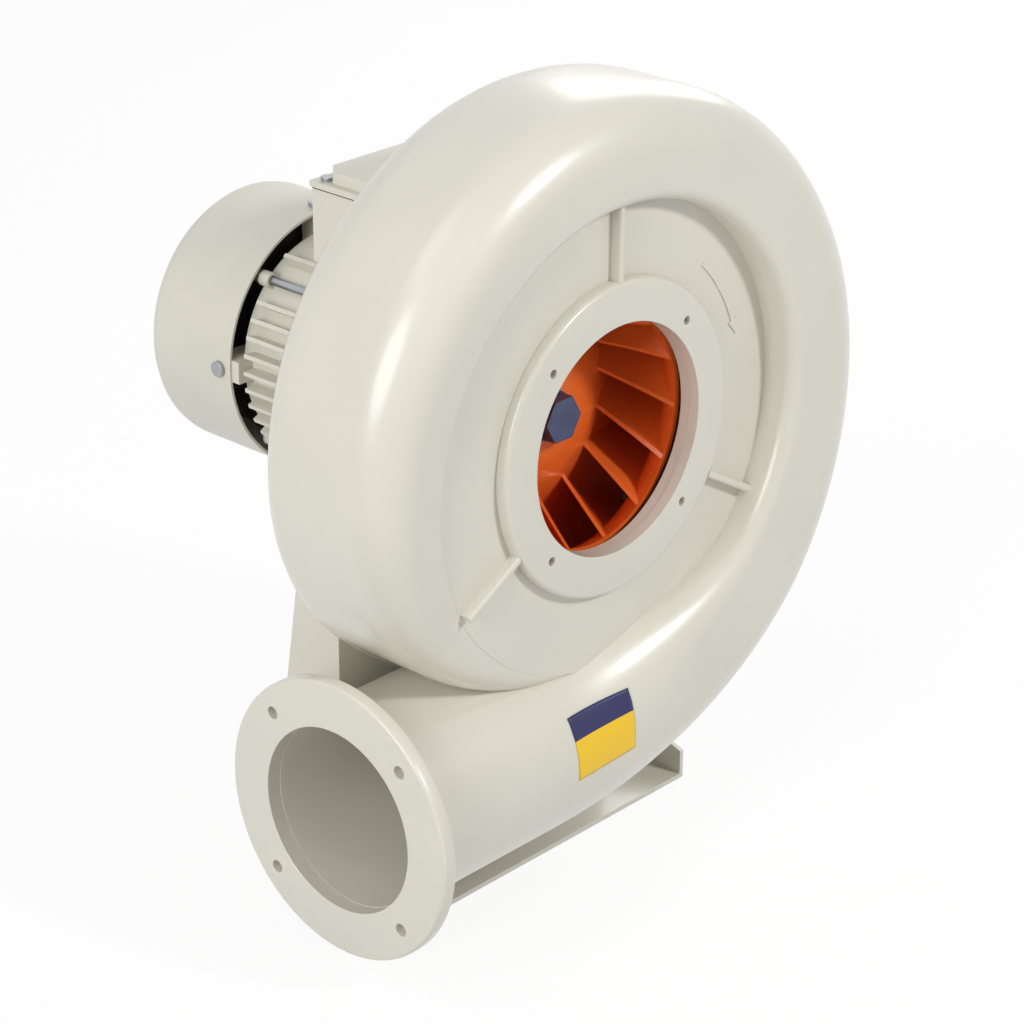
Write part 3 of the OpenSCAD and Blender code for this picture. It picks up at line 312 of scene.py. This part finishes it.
# Just inside the outer edges of the collar's face and of the outlet flange
COLLAR_FACE, COLLAR_R, FLANGE_R = 102.5, 88.5, 79
RING_TURN, CORNER_STEPS = 3, 10


def mix(a, b, t):
    return a + (b - a) * t


def clamp(t):
    return max(0.0, min(1.0, t))


def section(angle, wall):
    """Outline of the scroll at an angle, as distance from the arc's centre and height before the casing's back."""
    centre, radius = next((c, r) for last, c, r in ARCS if angle > last or last == BOTTOM)
    share = clamp((TONGUE - angle) / (TONGUE - FULL_CREST))
    t = clamp((ROUNDING_START - angle) / (ROUNDING_START - BOTTOM))
    t = t * t * (3 - 2 * t)
    full = DUCT_R - SEAM
    round_r = full - SEAM
    turn = math.radians(angle)
    along = centre[0] * math.cos(turn) + centre[1] * math.sin(turn)
    reach = math.sqrt(along ** 2 - centre[0] ** 2 - centre[1] ** 2 + RECESS_R ** 2) - along
    outer, inner = radius - wall, mix(reach, radius - 2 * full, t) + wall
    top, base = mix(DISC + CREST_START, DEPTH - SEAM, share) - wall, SEAM + wall
    room = outer - inner - SEAM
    front = min(mix(FRONT_SHOULDER + SHOULDER_GROWTH * share, round_r, t) - wall, room * ROOM_SHARE)
    back = min(mix(BACK_SHOULDER + SHOULDER_GROWTH * share, round_r, t) - wall, room * ROOM_SHARE)
    edge = max(RIM, mix(RIM + RIM_GROWTH * share, round_r, t) - wall)
    rim, root = min(edge, room - front), min(edge, room - back)
    corners_of = ((inner + root, base + root, root, 180), (outer - back, base + back, back, 270),
                  (outer - front, top - front, front, 0), (inner + rim, top - rim, rim, 90))
    outline = []
    for x, y, r, first in corners_of:
        for step in range(CORNER_STEPS + 1):
            at = math.radians(first + 90 * step / CORNER_STEPS)
            outline.append((x + r * math.cos(at), y + r * math.sin(at)))
    return centre, turn, outline


def loft(first, last, wall, duct=0.0):
    """A closed bmesh through the scroll's sections from one angle to another, and on along the duct."""
    bm = bmesh.new()
    rings = math.ceil((first - last) / RING_TURN)
    places = [(mix(first, last, i / rings), 0) for i in range(rings + 1)] + ([(last, duct)] if duct else [])
    before = None
    for angle, shift in places:
        centre, turn, outline = section(angle, wall)
        verts = [bm.verts.new(Vector((centre[0] + d * math.cos(turn) - shift, -h,
                                      SHAFT_UP + centre[1] + d * math.sin(turn))) * MM) for d, h in outline]
        edges = [bm.edges.new((verts[i - 1], verts[i])) for i in range(len(verts))]
        if before:
            bmesh.ops.bridge_loops(bm, edges=before + edges)
        before = edges
    bmesh.ops.holes_fill(bm, edges=[edge for edge in bm.edges if edge.is_boundary], sides=0)
    bmesh.ops.recalc_face_normals(bm, faces=bm.faces)
    return bm


def round_bar(radius, y0, y1, x=0.0, z=SHAFT_UP, sides=192):
    """A bar along the shaft, between two distances behind the casing's back, in mm."""
    bm = bmesh.new()
    bmesh.ops.create_cone(bm, cap_ends=True, segments=sides, radius1=radius * MM, radius2=radius * MM,
                          depth=(y1 - y0) * MM)
    bmesh.ops.rotate(bm, verts=bm.verts, matrix=Matrix.Rotation(math.pi / 2, 3, "X"))
    bmesh.ops.translate(bm, verts=bm.verts, vec=Vector((x, (y0 + y1) / 2, z)) * MM)
    return bm


def scratch(bm, name):
    bmesh.ops.recalc_face_normals(bm, faces=bm.faces)
    mesh = bpy.data.meshes.new(name)
    bm.to_mesh(mesh)
    bm.free()
    return link(name, mesh)


def carve(piece, tools, operation):
    """Joins the tools to the piece or cuts them from it, and deletes them."""
    for tool in tools:
        cut = piece.modifiers.new("cut", "BOOLEAN")
        cut.solver = "EXACT"
        cut.operation = operation
        cut.object = tool
        mesh = bpy.data.meshes.new_from_object(piece.evaluated_get(bpy.context.evaluated_depsgraph_get()))
        piece.modifiers.clear()
        piece.data = mesh
        bpy.data.objects.remove(tool)


class BLOWER_OT_casing(BlowerOperator, bpy.types.Operator):
    """Finish the volute casing, its collar, its outlet flange and its rear cover"""
    bl_idname = "blower.casing"
    bl_label = "Casing"

    def ribs(self):
        bars = []
        for angle in RIB_ANGLES:
            bm = bmesh.new()
            bmesh.ops.create_cube(bm, size=MM)
            bmesh.ops.scale(bm, vec=RIB_SIZE, verts=bm.verts)
            top = [edge for edge in bm.edges if all(vert.co.y < 0 for vert in edge.verts) and
                   abs(edge.verts[0].co.x - edge.verts[1].co.x) > MM]
            bmesh.ops.bevel(bm, geom=top, offset=RIB_TOP * MM, segments=RIB_STEPS, profile=0.5, affect="EDGES",
                            material=-1)
            bmesh.ops.translate(bm, verts=bm.verts, vec=Vector(RIB_PLACE) * MM)
            bmesh.ops.rotate(bm, verts=bm.verts, matrix=Matrix.Rotation(math.radians(-angle), 3, "Y"))
            bmesh.ops.translate(bm, verts=bm.verts, vec=Vector((0, 0, SHAFT_UP)) * MM)
            bars.append(scratch(bm, "rib"))
        return bars

    def arrow(self):
        bm = bmesh.new()
        (first, last), (low, high) = ARROW_TURN, ARROW_HEIGHT
        for radius in ARROW_R:
            bm.verts.new(Vector((radius, low, 0)) * MM)
            bm.verts.new(Vector((radius, high, 0)) * MM)
        verts = list(bm.verts)
        face = bm.faces.new((verts[0], verts[2], verts[3], verts[1]))
        bmesh.ops.rotate(bm, verts=bm.verts, matrix=Matrix.Rotation(math.radians(-first), 3, "Y"))
        bmesh.ops.spin(bm, geom=[face] + list(face.edges) + list(face.verts), axis=(0, -1, 0), cent=(0, 0, 0),
                       angle=math.radians(last - first), steps=ARROW_STEPS)
        bmesh.ops.holes_fill(bm, edges=[edge for edge in bm.edges if edge.is_boundary], sides=0)
        bmesh.ops.translate(bm, verts=bm.verts, vec=Vector((0, 0, SHAFT_UP)) * MM)
        head = bmesh.new()
        corners_of = [head.verts.new(Vector((x, low, z)) * MM) for x, z in ARROW_HEAD]
        side = bmesh.ops.extrude_face_region(head, geom=[head.faces.new(corners_of)])["geom"]
        bmesh.ops.translate(head, verts=[v for v in side if isinstance(v, bmesh.types.BMVert)],
                            vec=Vector((0, high - low, 0)) * MM)
        bmesh.ops.rotate(head, verts=head.verts, matrix=Matrix.Rotation(math.radians(-first), 3, "Y"))
        bmesh.ops.translate(head, verts=head.verts, vec=Vector((0, 0, SHAFT_UP)) * MM)
        return [scratch(bm, "arrow"), scratch(head, "arrow_head")]

    def execute(self, context):
        casing = scratch(loft(TONGUE, BOTTOM, 0, DUCT_END), "volute_casing_finish")
        joined = [scratch(loft(TONGUE + START_OVERLAP, TONGUE - RING_TURN, SEAM), "start"),
                  scratch(round_bar(RECESS_R + WALL / 2, -DISC, WALL - DISC), "disc"),
                  scratch(round_bar(REAR_RING_R, -REAR_RING_T, 0), "rear_ring")] + self.ribs() + self.arrow()
        carve(casing, joined, "UNION")
        carve(casing, [scratch(round_bar(CHAMBER_R, WALL - DISC, OVER), "chamber"),
                       scratch(round_bar(COVER_SEAT_R, -COVER_SEAT_T, OVER), "seat"),
                       scratch(round_bar(INLET_R, -DEPTH, WALL - DISC + OVER), "inlet"),
                       scratch(loft(TONGUE, BOTTOM, WALL, DUCT_END + OVER), "passage")], "DIFFERENCE")
        bm = bmesh.new()
        bm.from_mesh(casing.data)
        bmesh.ops.remove_doubles(bm, verts=bm.verts, dist=MERGE)
        shade(bm)
        bm.to_mesh(casing.data)
        bm.free()
        casing.data.name = "volute_casing_finish"
        stand_for(casing, "volute_casing")
        dress("inlet_collar", sizes().cast_edge, roll=sizes().collar_edge,
              rolled=lambda at: at.y < -COLLAR_FACE and math.hypot(at.x, at.z - SHAFT_UP) > COLLAR_R)
        dress("outlet_flange", sizes().cast_edge, roll=sizes().flange_edge,
              rolled=lambda at: math.hypot(at.y + DUCT_R, at.z - SHAFT_UP + DUCT_DROP) > FLANGE_R)
        dress("rear_cover", sizes().sheet_edge)
        return {"FINISHED"}


# The label's middle in front of the duct, its lean in degrees, its film's thickness and its squares
LABEL_PLACE, LABEL_LEAN, LABEL_T, LABEL_SQUARES = (-22, -200, SHAFT_UP - 164), 3, 0.25, (26, 20)
# Where the label's blue band starts above its middle, as a share of its height
LABEL_BAND = 1 / 6


class BLOWER_OT_label(BlowerOperator, bpy.types.Operator):
    """Lay the blank two-coloured label on the front of the duct"""
    bl_idname = "blower.label"
    bl_label = "Label"

    def execute(self, context):
        width, height = sizes().label_w, sizes().label_h
        thick = LABEL_T * MM
        bm = bmesh.new()
        bmesh.ops.create_grid(bm, x_segments=LABEL_SQUARES[0], y_segments=LABEL_SQUARES[1], size=0.5)
        bmesh.ops.scale(bm, vec=(width, height, 1), verts=bm.verts)
        for face in bm.faces:
            face.material_index = 1 if face.calc_center_median().y > height * LABEL_BAND else 0
        bpy.context.view_layer.update()
        casing = bpy.data.objects["volute_casing_finish"]
        lean = math.radians(LABEL_LEAN)
        middle = Vector(LABEL_PLACE) * MM
        for vert in bm.verts:
            x, z = vert.co.x, vert.co.y
            start = middle + Vector((x * math.cos(lean) - z * math.sin(lean), 0,
                                     x * math.sin(lean) + z * math.cos(lean)))
            found, hit, _, _ = casing.ray_cast(start, Vector((0, 1, 0)))
            if not found:
                raise RuntimeError(f"the label misses the casing at {start}")
            vert.co = hit - Vector((0, thick, 0))
        bmesh.ops.smooth_vert(bm, verts=bm.verts, factor=0.5, use_axis_y=True)
        for face in bm.faces:
            face.smooth = True
        bmesh.ops.recalc_face_normals(bm, faces=bm.faces)
        if sum(face.normal.y for face in bm.faces) > 0:
            bmesh.ops.reverse_faces(bm, faces=bm.faces)
        mesh = bpy.data.meshes.new("blank_label")
        bm.to_mesh(mesh)
        bm.free()
        piece = link("blank_label", mesh)
        solid = piece.modifiers.new("film", "SOLIDIFY")
        solid.thickness = thick
        solid.offset = 1.0
        # Printed vinyl film: smooth, slightly soft gloss
        for name in ("yellow", "blue"):
            colour = getattr(colours(), "label_" + name)
            mesh.materials.append(surface(name + " vinyl film", colour, 1.5, 30, 0.02, 0.32, 0.04, 0.004))
        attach(piece, "root")
        return {"FINISHED"}


class BLOWER_OT_impeller(BlowerOperator, bpy.types.Operator):
    """Finish the impeller and what holds it on the shaft"""
    bl_idname = "blower.impeller"
    bl_label = "Impeller"

    def execute(self, context):
        dress("impeller", flatten=False)
        dress("impeller_washer", sizes().screw_edge)
        dress("impeller_bolt", sizes().screw_edge)
        return {"FINISHED"}


class BLOWER_OT_stand(BlowerOperator, bpy.types.Operator):
    """Finish the folded stand"""
    bl_idname = "blower.stand"
    bl_label = "Stand"

    def execute(self, context):
        dress("pedestal", sizes().sheet_edge)
        return {"FINISHED"}


class BLOWER_OT_motor(BlowerOperator, bpy.types.Operator):
    """Finish the motor's frame, shields and cowl"""
    bl_idname = "blower.motor"
    bl_label = "Motor"

    def execute(self, context):
        for node in ("motor_frame", "drive_end_shield", "rear_end_shield"):
            dress(node, sizes().sheet_edge)
        dress("fan_cowl", sizes().screw_edge)
        dress("cooling_fan", sizes().screw_edge)
        return {"FINISHED"}


class BLOWER_OT_terminal_box(BlowerOperator, bpy.types.Operator):
    """Finish the terminal box, its lid and its gland"""
    bl_idname = "blower.terminal_box"
    bl_label = "Terminal box"

    def execute(self, context):
        dress("terminal_box", sizes().cast_edge)
        dress("terminal_box_lid", sizes().cast_edge)
        for node in ("gland_body", "gland_cap"):
            dress(node, sizes().screw_edge)
        return {"FINISHED"}


class BLOWER_OT_fasteners(BlowerOperator, bpy.types.Operator):
    """Finish the screws and bolts that show"""
    bl_idname = "blower.fasteners"
    bl_label = "Screws and bolts"

    def execute(self, context):
        for node in ("cover_screws", "flange_bolts", "flange_washers", "tie_bolts", "cowl_screws", "lid_screws"):
            dress(node, sizes().screw_edge)
        return {"FINISHED"}


class BLOWER_OT_inner_pieces(BlowerOperator, bpy.types.Operator):
    """Give every CAD piece its material"""
    bl_idname = "blower.inner_pieces"
    bl_label = "Inner pieces"

    def execute(self, context):
        for node, piece in frame["nodes"].items():
            finish(piece, SLOTS[node])
        return {"FINISHED"}


def backdrop_rays(tree):
    """1 on the rays that show the plain backdrop: camera, glossy and transmission rays."""
    rays = add(tree, "ShaderNodeLightPath").outputs
    bent = add(tree, "ShaderNodeMath", {"operation": "MAXIMUM"},
               {0: rays["Is Glossy Ray"], 1: rays["Is Transmission Ray"]})
    return add(tree, "ShaderNodeMath", {"operation": "MAXIMUM"},
               {0: rays["Is Camera Ray"], 1: bent.outputs[0]}).outputs[0]


# The point that the camera looks at, and the camera's azimuth, elevation and roll in degrees
TARGET, CAMERA_ANGLES = (-84.3, -103.0, 251.1), (-47.21, 24.5, -0.22)
CAMERA_DISTANCE, LENS, SENSOR = 1590.6, 108.86, 36
# Lamps: name, place from the target in metres, width in metres and power in watts
LAMPS = (("key", (0.8, -2.2, 1.6), 0.5, 38), ("side", (-2.1, -0.25, 0.9), 1.4, 31), ("rim", (-1.2, 0.6, 2.2), 1.2, 6),
         ("far side", (1.9, 0.9, 1.1), 1.4, 16))
# The floor's half width in metres, and how much of what the camera sees of it is plain white
FLOOR_HALF, FLOOR_ROUGHNESS, FLOOR_GLOW, FLOOR_GLOW_SHARE = 8, 0.9, 1.05, 0.86
ROOM_COLOUR, ROOM_STRENGTH = "#F3F3F3", 0.36


class BLOWER_OT_stage(BlowerOperator, bpy.types.Operator):
    """Set the floor, the lights, the background and the camera"""
    bl_idname = "blower.stage"
    bl_label = "Stage and camera"

    target = Vector(TARGET) * MM

    def floor(self):
        bm = bmesh.new()
        bmesh.ops.create_grid(bm, x_segments=1, y_segments=1, size=FLOOR_HALF)
        mesh = bpy.data.meshes.new("studio_floor")
        bm.to_mesh(mesh)
        bm.free()
        floor = link("studio_floor", mesh)
        material, tree, shader = blank("matt white studio floor")
        shader.inputs["Base Color"].default_value = colours().floor
        shader.inputs["Roughness"].default_value = FLOOR_ROUGHNESS
        out = tree.nodes["Material Output"]
        glow = add(tree, "ShaderNodeEmission", {"Color": colours().backdrop, "Strength": FLOOR_GLOW})
        share = add(tree, "ShaderNodeMath", {"operation": "MULTIPLY", 1: FLOOR_GLOW_SHARE},
                    {0: backdrop_rays(tree)})
        mixed = add(tree, "ShaderNodeMixShader",
                    links={0: share.outputs[0], 1: shader.outputs["BSDF"], 2: glow.outputs["Emission"]})
        tree.links.new(mixed.outputs["Shader"], out.inputs["Surface"])
        mesh.materials.append(material)

    def lamp(self, name, place, width, power):
        light = bpy.data.lights.new(name, "AREA")
        light.shape = "DISK"
        light.size = width
        light.energy = power
        lamp = link(name, light)
        lamp.location = self.target + Vector(place)
        lamp.rotation_euler = (self.target - lamp.location).to_track_quat("-Z", "Y").to_euler()

    def world(self):
        world = bpy.data.worlds.new("studio")
        world.use_nodes = True
        tree = world.node_tree
        room = tree.nodes["Background"]
        room.inputs["Color"].default_value = linear(ROOM_COLOUR)
        room.inputs["Strength"].default_value = ROOM_STRENGTH
        seen = add(tree, "ShaderNodeBackground", {"Color": colours().backdrop, "Strength": 1.0})
        mixed = add(tree, "ShaderNodeMixShader",
                    links={0: backdrop_rays(tree), 1: room.outputs["Background"], 2: seen.outputs["Background"]})
        tree.links.new(mixed.outputs["Shader"], tree.nodes["World Output"].inputs["Surface"])
        bpy.context.scene.world = world

    def camera(self):
        azimuth, elevation, roll = (math.radians(angle) for angle in CAMERA_ANGLES)
        back = Vector((math.sin(azimuth) * math.cos(elevation), -math.cos(azimuth) * math.cos(elevation),
                       math.sin(elevation)))
        data = bpy.data.cameras.new("camera")
        data.sensor_width = SENSOR
        data.lens = LENS
        camera = link("camera", data)
        camera.location = self.target + CAMERA_DISTANCE * MM * back
        turn = (-back).to_track_quat("-Z", "Y")
        turn.rotate(Quaternion(-back, roll))
        camera.rotation_euler = turn.to_euler()
        bpy.context.scene.camera = camera

    def execute(self, context):
        self.floor()
        for lamp in LAMPS:
            self.lamp(*lamp)
        self.world()
        self.camera()
        context.scene.view_settings.view_transform = "Standard"
        return {"FINISHED"}


PIECE_OPERATORS = (
    BLOWER_OT_inner_pieces, BLOWER_OT_casing, BLOWER_OT_label, BLOWER_OT_impeller, BLOWER_OT_stand,
    BLOWER_OT_motor, BLOWER_OT_terminal_box, BLOWER_OT_fasteners, BLOWER_OT_stage)


class BLOWER_PT_panel(bpy.types.Panel):
    """Lists the blower's pieces, sizes and colours"""
    bl_idname = "BLOWER_PT_panel"
    bl_label = "Centrifugal blower"
    bl_space_type = "VIEW_3D"
    bl_region_type = "UI"
    bl_category = "Blower"

    def draw(self, context):
        for operator in PIECE_OPERATORS:
            self.layout.operator(operator.bl_idname)
        for group in (context.scene.blower_sizes, context.scene.blower_colours):
            for name in group.__annotations__:
                self.layout.prop(group, name)


CLASSES = (BlowerColours, BlowerSizes) + PIECE_OPERATORS + (BLOWER_PT_panel,)


def register():
    for cls in CLASSES:
        bpy.utils.register_class(cls)
    bpy.types.Scene.blower_colours = bpy.props.PointerProperty(type=BlowerColours)
    bpy.types.Scene.blower_sizes = bpy.props.PointerProperty(type=BlowerSizes)


def unregister():
    del bpy.types.Scene.blower_sizes
    del bpy.types.Scene.blower_colours
    for cls in reversed(CLASSES):
        bpy.utils.unregister_class(cls)


def main():
    register()
    for operator in PIECE_OPERATORS:
        group, name = operator.bl_idname.split(".")
        getattr(getattr(bpy.ops, group), name)()


if __name__ == "__main__":
    main()
